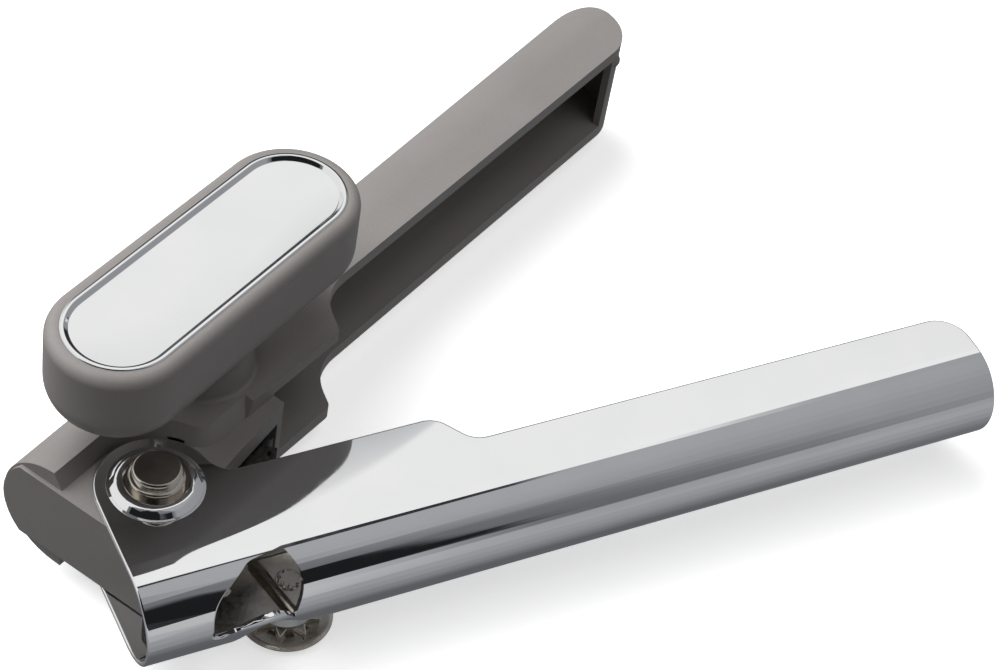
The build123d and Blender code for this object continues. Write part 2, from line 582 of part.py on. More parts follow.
def bush_pockets():
    """Holes that take the bushes."""
    knob_r = KNOB_SHAFT_R + BUSH_WALL
    feed_r = FEED_SHAFT_R + BUSH_WALL
    holes = rod(0, 0, BLOCK_BOTTOM_Z - 1, BLOCK_TOP_Z + 1, STUD_R + FIT + STUD_BUSH_WALL)
    holes += rod(KNOB_X, KNOB_Y, KNOB_BUSH_LOW_Z - 1, TOWER_TOP_Z + 1, knob_r)
    holes += rod(KNOB_X, KNOB_Y, LOWER_BUSH_TOP_Z - LOWER_BUSH_LENGTH, LOWER_BUSH_TOP_Z + 1, knob_r)
    holes += rod(FEED_X, FEED_Y, ROOF_Z - 1, FEED_BUSH_TOP_Z, feed_r)
    holes += rod(FEED_X, FEED_Y, GRIP_BOTTOM_Z - 1, FLOOR_Z + 1, feed_r)
    return holes


def make_grip_group():
    knob_r = KNOB_SHAFT_R + FIT
    feed_r = FEED_SHAFT_R + FIT
    stud_r = STUD_R + FIT
    knob_out = KNOB_SHAFT_R + BUSH_WALL
    feed_out = FEED_SHAFT_R + BUSH_WALL
    parts["grip_handle"] = make_grip_handle()
    parts["pivot_bush"] = ring(0, 0, BLOCK_BOTTOM_Z, BLOCK_TOP_Z, stud_r + STUD_BUSH_WALL, stud_r)
    parts["knob_bush_upper"] = ring(KNOB_X, KNOB_Y, KNOB_BUSH_LOW_Z, TOWER_TOP_Z, knob_out, knob_r)
    parts["knob_bush_lower"] = ring(KNOB_X, KNOB_Y, LOWER_BUSH_TOP_Z - LOWER_BUSH_LENGTH, LOWER_BUSH_TOP_Z,
                                    knob_out, knob_r)
    parts["feed_bush_upper"] = ring(FEED_X, FEED_Y, ROOF_Z, FEED_BUSH_TOP_Z, feed_out, feed_r)
    parts["feed_bush_middle"] = ring(FEED_X, FEED_Y, BLOCK_BOTTOM_Z, FLOOR_Z, feed_out, feed_r)
    parts["feed_bush_lower"] = ring(FEED_X, FEED_Y, GRIP_BOTTOM_Z, EAR_TOP_Z, feed_out, feed_r)


# ---------------------------------------------------------------- knob group
def stadium(half_length, radius):
    """Long round-ended outline along X."""
    return Rectangle(2 * half_length, 2 * radius) + Pos(half_length, 0) * Circle(radius) \
        + Pos(-half_length, 0) * Circle(radius)


def make_knob_body():
    """Long turning knob with bulged sides, a pocket for the insert and a square socket."""
    body = prism(stadium(KNOB_HALF_LENGTH, KNOB_R), KNOB_BOTTOM_Z, KNOB_TOP_Z)
    body = fillet(body.faces().sort_by(Axis.Z)[-1].edges(), KNOB_TOP_ROUND)
    body = fillet(body.faces().sort_by(Axis.Z)[0].edges(), KNOB_BOTTOM_ROUND)
    body -= prism(stadium(KNOB_HALF_LENGTH, INSERT_R), KNOB_TOP_Z - INSERT_DEPTH, KNOB_TOP_Z + 1)
    body -= block(-SQUARE / 2, SQUARE / 2, -SQUARE / 2, SQUARE / 2, KNOB_BOTTOM_Z - 1,
                  SQUARE_TOP_Z + SQUARE_HEADROOM)
    body -= rod(0, 0, SQUARE_TOP_Z, KNOB_TOP_Z, SCREW_R + SCREW_FIT)
    body -= rod(0, 0, SQUARE_TOP_Z + SCREW_SEAT, KNOB_TOP_Z, SCREW_HEAD_R + SCREW_FIT)
    return Pos(KNOB_X, KNOB_Y, 0) * body


def make_knob_insert():
    """Bright plate let into the top of the knob, with a raised rim."""
    low = KNOB_TOP_Z - INSERT_DEPTH
    top = KNOB_TOP_Z + INSERT_PROUD
    plate = prism(stadium(KNOB_HALF_LENGTH, INSERT_R), low, top)
    plate = fillet(plate.faces().sort_by(Axis.Z)[-1].edges(), INSERT_EDGE)
    dish = prism(stadium(KNOB_HALF_LENGTH, INSERT_R - INSERT_RIM), top - INSERT_DISH, top + 1)
    return Pos(KNOB_X, KNOB_Y, 0) * (plate - dish)


def make_knob_shaft():
    """Round shaft with a square end for the knob and a cross hole for the gear's pin."""
    shaft = rod(0, 0, KNOB_SHAFT_LOW_Z, KNOB_BOTTOM_Z, KNOB_SHAFT_R)
    shaft += block(-SQUARE / 2, SQUARE / 2, -SQUARE / 2, SQUARE / 2, KNOB_BOTTOM_Z, SQUARE_TOP_Z) \
        & rod(0, 0, KNOB_BOTTOM_Z, SQUARE_TOP_Z, KNOB_SHAFT_R)
    shaft -= rod(0, 0, SQUARE_TOP_Z - SCREW_LENGTH - 0.5, SQUARE_TOP_Z + 1, SCREW_R)
    shaft -= cross_pin(2 * HUB_R)
    return Pos(KNOB_X, KNOB_Y, 0) * shaft


def cross_pin(length):
    """Pin along X through a gear's hub and shaft."""
    return Pos(0, 0, PINHOLE_Z) * Rot(0, 90, 0) * Cylinder(PIN_R, length)


def make_knob_screw():
    """Pan-head screw that holds the knob on the square."""
    seat = SQUARE_TOP_Z + SCREW_SEAT
    end = SQUARE_TOP_Z - SCREW_LENGTH
    screw = turned([(0, end), (SCREW_R, end), (SCREW_R, seat), (SCREW_HEAD_R, seat),
                    (SCREW_HEAD_R, seat + SCREW_SIDE_T), (SCREW_HEAD_R - 1, seat + SCREW_HEAD_T),
                    (0, seat + SCREW_HEAD_T + SCREW_DOME)])
    low, high = seat + SLOT_FLOOR, seat + SCREW_HEAD_T + 1
    recess = block(-SLOT_HALF, SLOT_HALF, -SLOT_WIDTH / 2, SLOT_WIDTH / 2, low, high) \
        + block(-SLOT_WIDTH / 2, SLOT_WIDTH / 2, -SLOT_HALF, SLOT_HALF, low, high)
    return Pos(KNOB_X, KNOB_Y, 0) * (screw - recess)


def make_gear(phase, shaft_r):
    """Spur gear with a hub below it, centred on the origin."""
    gear = prism(gear_outline(TEETH, phase), GEAR_TOP_Z - GEAR_FACE, GEAR_TOP_Z)
    gear += rod(0, 0, GEAR_TOP_Z - GEAR_FACE - HUB_LENGTH, GEAR_TOP_Z - GEAR_FACE, HUB_R)
    gear -= rod(0, 0, GEAR_TOP_Z - GEAR_FACE - HUB_LENGTH - 1, GEAR_TOP_Z + 1, shaft_r)
    return gear - cross_pin(4 * HUB_R)


def make_knob_group():
    spacer_top = GRIP_TOP_Z - GRIP_WALL - SPACER_GAP
    parts["knob_body"] = make_knob_body()
    parts["knob_insert"] = make_knob_insert()
    parts["knob_shaft"] = make_knob_shaft()
    parts["knob_screw"] = make_knob_screw()
    parts["knob_washer"] = ring(KNOB_X, KNOB_Y, TOWER_TOP_Z + FACE_GAP, KNOB_BOTTOM_Z, KNOB_WASHER_R,
                                KNOB_SHAFT_R)
    parts["knob_gear_spacer"] = ring(KNOB_X, KNOB_Y, GEAR_TOP_Z, spacer_top, SPACER_R, KNOB_SHAFT_R)
    parts["knob_gear"] = Pos(KNOB_X, KNOB_Y, 0) * make_gear(FEED_DIRECTION, KNOB_SHAFT_R)
    parts["knob_gear_pin"] = Pos(KNOB_X, KNOB_Y, 0) * cross_pin(2 * HUB_R - PIN_SET_IN)


# ---------------------------------------------------------------- feed group
def make_feed_wheel():
    """Serrated wheel that grips the rim of the can."""
    face = toothed_outline(FEED_WHEEL_TEETH, FEED_WHEEL_R, FEED_WHEEL_R - FEED_WHEEL_DEPTH,
                           *FEED_WHEEL_SHARES)
    face = face - Circle(FEED_SHAFT_R)
    return Pos(FEED_X, FEED_Y, 0) * prism(face, FEED_WHEEL_TOP_Z - FEED_WHEEL_T, FEED_WHEEL_TOP_Z)


def make_feed_group():
    low = FEED_WHEEL_TOP_Z - FEED_WHEEL_T
    nut_low = low - FEED_NUT_T
    gap_phase = FEED_DIRECTION + 180 + 180 / TEETH
    shaft = rod(0, 0, nut_low, FEED_BUSH_TOP_Z - FEED_SHAFT_HEADROOM, FEED_SHAFT_R) - cross_pin(2 * HUB_R)
    nut = prism(RegularPolygon(FEED_NUT_R, 6), nut_low, low) - rod(0, 0, nut_low - 1, low + 1, FEED_SHAFT_R)
    parts["feed_shaft"] = Pos(FEED_X, FEED_Y, 0) * shaft
    parts["feed_gear"] = Pos(FEED_X, FEED_Y, 0) * make_gear(gap_phase, FEED_SHAFT_R)
    parts["feed_gear_pin"] = Pos(FEED_X, FEED_Y, 0) * cross_pin(2 * HUB_R - PIN_SET_IN)
    parts["feed_washer"] = ring(FEED_X, FEED_Y, FEED_WHEEL_TOP_Z, GRIP_BOTTOM_Z - FACE_GAP, FEED_WASHER_R,
                                FEED_SHAFT_R)
    parts["feed_wheel"] = make_feed_wheel()
    parts["feed_nut"] = Pos(FEED_X, FEED_Y, 0) * nut


# ---------------------------------------------------------------- assembly
make_steel_group()
steel_side = list(parts)
parts["cutting_wheel"] = make_cutting_wheel()
parts["cutter_drive_ring"] = make_drive_ring()
cutter_side = [name for name in parts if name not in steel_side]
make_grip_group()
make_knob_group()
make_feed_group()
swing = Rot(0, 0, OPEN_ANGLE)
for name in parts:
    if name not in steel_side and name not in cutter_side:
        parts[name] = swing * parts[name]

# the origin goes to the bottom centre of the whole object
boxes = [shape.bounding_box() for shape in parts.values()]
low_corner = [min(tuple(box.min)[k] for box in boxes) for k in range(3)]
high_corner = [max(tuple(box.max)[k] for box in boxes) for k in range(3)]
shift = Pos(-(low_corner[0] + high_corner[0]) / 2, -(low_corner[1] + high_corner[1]) / 2, -low_corner[2])

os.makedirs("parts", exist_ok=True)
for name, shape in parts.items():
    export_step(shift * shape, f"parts/{name}.step")

for label, axis_point in (("pivot", (0, 0, 0)), ("cutter", (CUTTER_X, CUTTER_Y, 0))):
    print(label, (shift * Vertex(*axis_point)).center())
for label, axis_point in (("knob", (KNOB_X, KNOB_Y, 0)), ("feed", (FEED_X, FEED_Y, 0))):
    print(label, (shift * swing * Vertex(*axis_point)).center())
print("size", [round(high_corner[k] - low_corner[k], 2) for k in range(3)])
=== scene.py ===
import json
import math

import bmesh
import bpy
from mathutils import Matrix, Vector


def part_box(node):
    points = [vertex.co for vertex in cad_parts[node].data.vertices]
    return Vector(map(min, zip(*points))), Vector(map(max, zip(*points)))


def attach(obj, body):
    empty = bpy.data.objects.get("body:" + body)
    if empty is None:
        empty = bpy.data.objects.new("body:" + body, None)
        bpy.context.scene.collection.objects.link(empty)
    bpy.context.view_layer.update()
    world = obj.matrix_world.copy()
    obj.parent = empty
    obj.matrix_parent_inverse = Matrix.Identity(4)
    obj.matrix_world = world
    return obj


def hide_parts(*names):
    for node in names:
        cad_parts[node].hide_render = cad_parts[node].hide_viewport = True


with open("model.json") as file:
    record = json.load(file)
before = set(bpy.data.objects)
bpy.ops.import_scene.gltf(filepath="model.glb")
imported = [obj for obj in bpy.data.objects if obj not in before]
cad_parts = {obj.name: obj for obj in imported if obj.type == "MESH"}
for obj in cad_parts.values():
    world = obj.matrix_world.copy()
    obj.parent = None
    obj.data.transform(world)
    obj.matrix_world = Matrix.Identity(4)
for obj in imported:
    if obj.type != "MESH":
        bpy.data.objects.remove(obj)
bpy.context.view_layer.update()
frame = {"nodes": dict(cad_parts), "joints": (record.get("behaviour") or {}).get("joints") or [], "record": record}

# ---------------------------------------------------------------- frame facts
joints = {joint["name"]: joint for joint in frame["joints"]}
PIVOT = Vector(joints["handle_swing"]["pos_m"])
node_body = {node: body for body, nodes in frame["record"]["behaviour"]["bodies"].items() for node in nodes}
slot_of = {part["node"]: part["material_slot"] for part in frame["record"]["subparts"]}


# ---------------------------------------------------------------- node helpers
def new_material(name):
    material = bpy.data.materials.new(name)
    material.use_nodes = True
    tree = material.node_tree
    return material, tree, tree.nodes["Principled BSDF"]


def add_node(tree, kind, **settings):
    node = tree.nodes.new(kind)
    for key, value in settings.items():
        if key in node.inputs:
            node.inputs[key].default_value = value
        else:
            setattr(node, key, value)
    return node


def noise(tree, scale, detail=3.0, roughness=0.5, stretch=None):
    """Noise on the object's own coordinates, which are metres in the row frame."""
    coords = add_node(tree, "ShaderNodeTexCoord")
    source = coords.outputs["Object"]
    if stretch:
        mapping = add_node(tree, "ShaderNodeMapping", Scale=stretch)
        tree.links.new(source, mapping.inputs["Vector"])
        source = mapping.outputs["Vector"]
    texture = add_node(tree, "ShaderNodeTexNoise", Scale=scale, Detail=detail, Roughness=roughness)
    tree.links.new(source, texture.inputs["Vector"])
    return texture.outputs["Fac"]


def ramp(tree, source, stops):
    """Colour ramp; each stop is (position, colour or grey value)."""
    node = add_node(tree, "ShaderNodeValToRGB")
    elements = node.color_ramp.elements
    while len(elements) < len(stops):
        elements.new(0.5)
    for element, (position, value) in zip(elements, stops):
        element.position = position
        colour = value if isinstance(value, (tuple, list)) else (value,) * 3
        element.color = (*colour[:3], 1.0)
    tree.links.new(source, node.inputs["Fac"])
    return node.outputs["Color"]


def bump(tree, shader, source, strength, distance):
    """Relief on a shader, on top of the relief that it already has."""
    node = add_node(tree, "ShaderNodeBump", Strength=strength, Distance=distance)
    tree.links.new(source, node.inputs["Height"])
    existing = shader.inputs["Normal"]
    if existing.is_linked:
        tree.links.new(existing.links[0].from_socket, node.inputs["Normal"])
    tree.links.new(node.outputs["Normal"], existing)


def calculator(tree):
    """A function that adds one math node and returns its value; a source is a number or a socket."""
    def calc(operation, *sources):
        node = add_node(tree, "ShaderNodeMath", operation=operation)
        for socket, source in zip(node.inputs, sources):
            if isinstance(source, (int, float)):
                socket.default_value = source
            else:
                tree.links.new(source, socket)
        return node.outputs["Value"]
    return calc


def ranged(tree, value, low, high, kind="SMOOTHSTEP"):
    """0 up to low, 1 from high on, and a smooth or linear rise in between."""
    node = add_node(tree, "ShaderNodeMapRange", interpolation_type=kind)
    tree.links.new(value, node.inputs["Value"])
    node.inputs["From Min"].default_value = low
    node.inputs["From Max"].default_value = high
    return node.outputs["Result"]


def separated(tree, coordinates):
    """X, Y and Z of one kind of texture coordinates."""
    coords = add_node(tree, "ShaderNodeTexCoord")
    split = add_node(tree, "ShaderNodeSeparateXYZ")
    tree.links.new(coords.outputs[coordinates], split.inputs["Vector"])
    return split.outputs["X"], split.outputs["Y"], split.outputs["Z"]


# ---------------------------------------------------------------- materials
def make_surface(name, colour, roughness, relief=None, metallic=1.0):
    """Material from noise. Colour and roughness are (noise, ramp stops), and relief is
    (noise, strength, depth in metres)."""
    material, tree, shader = new_material(name)
    shader.inputs["Metallic"].default_value = metallic
    for (pattern, stops), socket in ((colour, "Base Color"), (roughness, "Roughness")):
        tree.links.new(ramp(tree, noise(tree, **pattern), stops), shader.inputs[socket])
    if relief:
        pattern, strength, depth = relief
        bump(tree, shader, noise(tree, **pattern), strength, depth)
    return material, tree, shader


def make_chrome(name="chrome_plate"):
    cloud = {"scale": 60.0, "detail": 4.0}
    haze = {"scale": 240.0, "detail": 5.0, "roughness": 0.6}
    ripple = {"scale": 34.0, "detail": 1.5}
    return make_surface(name,
                        colour=(cloud, [(0.3, (0.90, 0.905, 0.91)), (0.7, (0.94, 0.94, 0.94))]),
                        roughness=(haze, [(0.35, 0.025), (0.75, 0.07)]),
                        relief=(ripple, 0.35, 0.00012))


HEAD_FALL = 0.1                     # slope of the pressed head's upper flange towards its free edge
FALL_START = -0.0188                # where the fall begins, across the handle from the pivot
FALL_BEND_START = -0.004            # from here along the handle that line bends out to the free edge
FALL_BEND = 3.35                    # how strongly it bends, per metre
FALL_SOFTNESS = 4e-7                # rounds the fold, in square metres
BELOW_TOP = (0.0012, 0.0006)        # the fall fades in between these depths under the pivot's height
COLLAR_RADII = (0.0099, 0.0106)     # and between these distances from the pivot


def make_handle_chrome():
    """Chrome of the steel handle, with the shallow fall of the pressed head towards its free edge."""
    material, tree, shader = make_chrome("chrome_handle")
    calc = calculator(tree)
    place_x, place_y, place_z = separated(tree, "Object")
    x = calc("SUBTRACT", place_x, PIVOT.x)
    y = calc("SUBTRACT", place_y, PIVOT.y)
    bend = calc("MAXIMUM", calc("SUBTRACT", x, FALL_BEND_START), 0.0)
    start = calc("ADD", FALL_START, calc("MULTIPLY", calc("POWER", bend, 2.0), FALL_BEND))
    past = calc("SUBTRACT", y, start)
    distance = calc("SQRT", calc("ADD", calc("MULTIPLY", past, past), FALL_SOFTNESS))
    height = calc("MULTIPLY", calc("ADD", distance, past), -0.5 * HEAD_FALL)
    on_top = ranged(tree, place_z, PIVOT.z - BELOW_TOP[0], PIVOT.z - BELOW_TOP[1])
    radius = calc("SQRT", calc("ADD", calc("MULTIPLY", x, x), calc("MULTIPLY", y, y)))
    flat_only = calc("MULTIPLY", on_top, ranged(tree, radius, *COLLAR_RADII))
    bump(tree, shader, calc("MULTIPLY", height, flat_only), 1.0, 1.0)
    return material


def make_nickel():
    cloud = {"scale": 220.0, "detail": 4.0}
    haze = {"scale": 900.0, "detail": 5.0, "roughness": 0.6}
    grain = {"scale": 1500.0}
    return make_surface("nickel_plate",
                        colour=(cloud, [(0.3, (0.58, 0.53, 0.46)), (0.7, (0.70, 0.66, 0.59))]),
                        roughness=(haze, [(0.3, 0.12), (0.75, 0.26)]),
                        relief=(grain, 0.25, 0.00003))


def make_ground_steel():
    grind = {"scale": 900.0, "roughness": 0.6, "stretch": (1.0, 1.0, 14.0)}
    material, tree, shader = make_surface("ground_steel",
                                          colour=(grind, [(0.3, 0.42), (0.7, (0.60, 0.60, 0.59))]),
                                          roughness=(grind, [(0.3, 0.24), (0.7, 0.40)]),
                                          relief=(grind, 0.3, 0.00003))
    shader.inputs["Anisotropic"].default_value = 0.4
    return material, tree, shader


def make_bronze():
    pores = {"scale": 3500.0, "detail": 4.0, "roughness": 0.7}
    return make_surface("sintered_bronze",
                        colour=(pores, [(0.3, (0.30, 0.20, 0.10)), (0.6, (0.58, 0.43, 0.24))]),
                        roughness=(pores, [(0.3, 0.55), (0.7, 0.35)]),
                        relief=(pores, 0.4, 0.00005))


def make_greased_steel():
    film = {"scale": 700.0, "detail": 4.0, "roughness": 0.6}
    return make_surface("greased_steel",
                        colour=(film, [(0.3, (0.05, 0.048, 0.045)), (0.7, (0.13, 0.125, 0.12))]),
                        roughness=(film, [(0.3, 0.25), (0.7, 0.5)]),
                        relief=(film, 0.3, 0.00004))


def make_nylon():
    cloud = {"scale": 400.0}
    material, tree, shader = make_surface(
        "natural_nylon",
        colour=(cloud, [(0.3, (0.74, 0.72, 0.67)), (0.7, (0.82, 0.81, 0.77))]),
        roughness=(cloud, [(0.3, 0.4), (0.7, 0.5)]),
        metallic=0.0)
    shader.inputs["Subsurface Weight"].default_value = 0.1
    shader.inputs["Subsurface Radius"].default_value = (0.002, 0.0018, 0.0014)
    return material, tree, shader


def make_plastic():
    cloud = {"scale": 28.0, "detail": 4.0, "roughness": 0.6}
    wear = {"scale": 90.0, "detail": 5.0, "roughness": 0.6}
    speck = {"scale": 2600.0, "detail": 2.0}
    grain = {"scale": 2200.0, "detail": 2.0}
    material, tree, shader = make_surface(
        "grey_moulded_plastic",
        colour=(cloud, [(0.25, (0.250, 0.233, 0.226)), (0.75, (0.280, 0.262, 0.254))]),
        roughness=(wear, [(0.3, 0.40), (0.7, 0.52)]),
        relief=(grain, 0.25, 0.00002),
        metallic=0.0)
    base_colour = shader.inputs["Base Color"]
    flecked = add_node(tree, "ShaderNodeMix", data_type="RGBA", blend_type="MULTIPLY")
    flecked.inputs["Factor"].default_value = 1.0
    tree.links.new(base_colour.links[0].from_socket, flecked.inputs["A"])
    tree.links.new(ramp(tree, noise(tree, **speck), [(0.35, 0.93), (0.65, 1.0)]), flecked.inputs["B"])
    tree.links.new(flecked.outputs["Result"], base_colour)
    return material, tree, shader


makers = {
    "chrome": make_chrome,
    "nickel": make_nickel,
    "hardened_steel": make_ground_steel,
    "greased_steel": make_greased_steel,
    "bronze": make_bronze,
    "nylon": make_nylon,
    "grey_plastic": make_plastic,
}
materials = {slot: make()[0] for slot, make in makers.items()}


def dress(obj, slot):
    obj.data.materials.clear()
    obj.data.materials.append(materials[slot])


for node_name, node_object in frame["nodes"].items():
    dress(node_object, slot_of[node_name])


# ---------------------------------------------------------------- pieces with softened edges
# node: width of the rounding, its segments, and the least angle of an edge that is rounded, in degrees.
# None stands for marked edges only.
SOFT_EDGES = {
    "grip_handle": (0.0007, 3, 28.0),
    "steel_handle": (0.00042, 4, None),
    "pivot_stud": (0.00015, 2, 30.0),
    "cutter_bracket": (0.0004, 3, 30.0),
    "cutter_axle": (0.00015, 2, 30.0),
    "cutter_drive_ring": (0.00025, 2, 30.0),
    "cutting_wheel": (0.0001, 2, 30.0),
}
JOIN_DISTANCE = 2e-6
FLAT_ANGLE = 0.3
SMOOTH_ANGLE = 32.0
LARGE_FACES_FIRST = 100
SHEET_EDGE_ANGLE = 60.0
COLLAR_CLEAR = 0.0108
OPENER_CLEAR = (0.005, 0.052, -0.0135)      # along from, along to, and across, from the pivot


def mark_sheet_edges(build):
    """Bevel weight on the cut edges of the steel sheet, clear of the collar and the opener's hole."""
    along_from, along_to, across_to = OPENER_CLEAR
    weight = build.edges.layers.float.new("bevel_weight_edge")
    for edge in build.edges:
        if len(edge.link_faces) != 2 or edge.calc_face_angle() < math.radians(SHEET_EDGE_ANGLE):
            continue
        middle = (edge.verts[0].co + edge.verts[1].co) / 2 - PIVOT
        by_collar = middle.xy.length < COLLAR_CLEAR
        by_opener = along_from < middle.x < along_to and middle.y < across_to
        if not by_collar and not by_opener:
            edge[weight] = 1.0


def softened(node, width, segments, angle):
    """A copy of a CAD node's mesh with its sharp edges rounded over."""
    marked_only = angle is None
    mesh = frame["nodes"][node].data.copy()
    mesh.name = node + "_soft"
    build = bmesh.new()
    build.from_mesh(mesh)
    bmesh.ops.remove_doubles(build, verts=build.verts, dist=JOIN_DISTANCE)
    bmesh.ops.dissolve_limit(build, angle_limit=math.radians(FLAT_ANGLE),
                             verts=build.verts, edges=build.edges)
    for face in build.faces:
        face.smooth = True
    if marked_only:
        mark_sheet_edges(build)
    build.to_mesh(mesh)
    build.free()
    obj = bpy.data.objects.new(node + "_soft", mesh)
    bpy.context.collection.objects.link(obj)
    rounding = obj.modifiers.new("rounding", "BEVEL")
    rounding.width = width
    rounding.segments = segments
    if marked_only:
        rounding.limit_method = "WEIGHT"
    else:
        rounding.limit_method = "ANGLE"
        rounding.angle_limit = math.radians(angle)
    rounding.use_clamp_overlap = not marked_only
    weighting = obj.modifiers.new("weighting", "WEIGHTED_NORMAL")
    weighting.mode = "FACE_AREA"
    weighting.weight = LARGE_FACES_FIRST
    weighting.keep_sharp = True
    mesh.set_sharp_from_angle(angle=math.radians(SMOOTH_ANGLE))
    dress(obj, slot_of[node])
    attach(obj, node_body[node])
    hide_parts(node)
    return obj


soft_pieces = {node: softened(node, *settings) for node, settings in SOFT_EDGES.items()}
soft_pieces["steel_handle"].data.materials[0] = make_handle_chrome()


# ---------------------------------------------------------------- knob insert
INSERT_HALF_LENGTH = 0.0279
CAP_STEPS = 40
LONG_STEPS = 12
INSERT_SHARP_ANGLE = 50.0
# offset inwards from the insert's side wall, and height below its top
INSERT_PROFILE = ((0.0, 0.0024), (0.0, 0.0004), (0.00006, 0.0002), (0.0002, 0.00006), (0.0004, 0.0),
                  (0.00095, 0.0), (0.0011, 0.00004), (0.0012, 0.00014), (0.0017, 0.00084), (0.00178, 0.00093),
                  (0.0019, 0.00098), (0.0021, 0.001))


def stadium_loop(radius):
    """Points round a long outline with half-round ends, along X, centred on the origin."""
    points = []
    for side in (1, -1):
        for step in range(CAP_STEPS + 1):
            angle = math.pi * (step / CAP_STEPS - 0.5)
            along = INSERT_HALF_LENGTH + radius * math.cos(angle)
            points.append((side * along, side * radius * math.sin(angle)))
        for step in range(1, LONG_STEPS):
            along = INSERT_HALF_LENGTH * (1 - 2 * step / LONG_STEPS)
            points.append((side * along, side * radius))
    return points


def insert_pose():
    """Centre, top, turn about Z and end radius of the insert, worked out from its box."""
    low, high = (Vector(corner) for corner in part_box("knob_insert"))
    size = high - low
    # a stadium turned by an angle spans 2(half cos + r) by 2(half sin + r), so cos - sin follows
    # from the difference of the two spans, and cos - sin is sqrt(2) cos(angle + 45 degrees)
    difference = (size.x - size.y) / (2 * INSERT_HALF_LENGTH)
    angle = math.acos(difference / math.sqrt(2)) - math.radians(45)
    radius = size.x / 2 - INSERT_HALF_LENGTH * math.cos(angle)
    return (low + high) / 2, high.z, angle, radius


def make_insert():
    """Bright plate in the knob: raised rim, sloping wall and a flat floor."""
    centre, top, angle, radius = insert_pose()
    build = bmesh.new()
    rows = []
    for inset, drop in INSERT_PROFILE:
        rows.append([build.verts.new((x, y, top - drop)) for x, y in stadium_loop(radius - inset)])
    count = len(rows[0])
    for row_a, row_b in zip(rows, rows[1:]):
        for k in range(count):
            after = (k + 1) % count
            build.faces.new((row_a[k], row_a[after], row_b[after], row_b[k]))
    build.faces.new(rows[-1])
    build.faces.new(list(reversed(rows[0])))
    for face in build.faces:
        face.smooth = len(face.verts) == 4
    bmesh.ops.recalc_face_normals(build, faces=build.faces)
    bmesh.ops.rotate(build, verts=build.verts, cent=(0, 0, 0), matrix=Matrix.Rotation(angle, 3, "Z"))
    bmesh.ops.translate(build, verts=build.verts, vec=(centre.x, centre.y, 0))
    mesh = bpy.data.meshes.new("knob_insert_dished")
    build.to_mesh(mesh)
    build.free()
    mesh.set_sharp_from_angle(angle=math.radians(INSERT_SHARP_ANGLE))
    obj = bpy.data.objects.new("knob_insert_dished", mesh)
    bpy.context.collection.objects.link(obj)
    dress(obj, "chrome")
    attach(obj, node_body["knob_insert"])
    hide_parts("knob_insert")


make_insert()

# ---------------------------------------------------------------- floor
FLOOR_HALF = 4.0
FLOOR_DROP = 0.0002
FLOOR_GLOW = 0.55
FLOOR_ROUGHNESS = 0.9


def make_floor():
    """Pale floor that the camera sees and that takes shadows, left out of reflections and bounced light."""
    mesh = bpy.data.meshes.new("studio_floor")
    build = bmesh.new()
    corners = [(-1, -1), (1, -1), (1, 1), (-1, 1)]
    build.faces.new([build.verts.new((x * FLOOR_HALF, y * FLOOR_HALF, -FLOOR_DROP)) for x, y in corners])
    build.to_mesh(mesh)
    build.free()
    floor = bpy.data.objects.new("studio_floor", mesh)
    bpy.context.collection.objects.link(floor)
    material, tree, shader = new_material("pale_floor")
    paper = noise(tree, scale=6.0)
    tree.links.new(ramp(tree, paper, [(0.3, 0.90), (0.7, 0.92)]), shader.inputs["Base Color"])
    shader.inputs["Roughness"].default_value = FLOOR_ROUGHNESS
    shader.inputs["Specular IOR Level"].default_value = 0.0
    shader.inputs["Emission Color"].default_value = (1.0, 1.0, 1.0, 1.0)
    shader.inputs["Emission Strength"].default_value = FLOOR_GLOW
    mesh.materials.append(material)
    floor.visible_glossy = False
    floor.visible_diffuse = False


make_floor()

# ---------------------------------------------------------------- reflected studio
# Angles are in degrees. A step has two ends; a band has the two ends of its rise and of its fall.
# Ramps over the elevation: from straight down to level, and from level to straight up.
BELOW_STOPS = [(0.0, 0.10), (0.30, 0.12), (0.42, 0.19), (0.55, 0.27), (0.85, 0.36), (1.0, 0.33)]
ABOVE_STOPS = [(0.0, 0.275), (0.45, 0.31), (0.70, 0.37), (1.0, 0.40)]
WALL_STOPS = [(0.0, 0.02), (0.40, 0.03), (0.455, 0.80), (0.50, 0.86), (1.0, 0.88)]
WALL_STEP = (26.0, 31.0)            # azimuth where the white wall begins
BARE_WALL_STEP = (84.0, 92.0)       # azimuth beyond which it is bright from the level up
BARE_WALL = 0.80
DIM_STEP = (-66.0, -54.0)           # azimuth below which the grey side is dimmer
DIM_SHARE = 0.5
LEVEL_STEP = (-0.6, 0.6)
# thin dark gap between wall and grey side, on a straight line seen from above
GAP_SLOPE = 0.543
GAP_ACROSS = (-0.075, -0.062, -0.012, 0.0)
GAP_ALONG = (0.0, 0.05, 0.38, 0.43)
GAP_GREY = 0.03
# band of azimuth, band of elevation, grey value; a later patch covers an earlier one
PATCHES = {
    "dark_card": ((-176.0, -172.0, -68.0, -66.0), (9.0, 12.0, 46.0, 50.0), 0.012),
    "dark_block": ((-151.0, -148.0, -99.0, -96.0), (2.0, 4.0, 74.0, 77.0), 0.012),
    "low_glow": ((-150.0, -140.0, -74.0, -66.0), (-26.0, 0.0, 8.0, 10.0), 0.50),
}
# the darker greys of the studio are turned slightly blue
COOL_STOPS = [(0.0, 0.0), (0.14, (0.134, 0.138, 0.150)), (0.33, (0.320, 0.328, 0.348)),
              (0.8, 0.8), (1.0, 1.0)]
# light for matt surfaces: a ramp from straight down to straight up, stronger on one side
SOFT_STOPS = [(0.0, 0.21), (0.45, 0.19), (0.56, 0.11), (0.7, 0.09), (1.0, 0.14)]
LEAN_ALONG = 0.5
LEAN_ACROSS = 0.866
LEAN = 0.42
PLAIN_COLOUR = (0.93, 0.93, 0.93, 1.0)


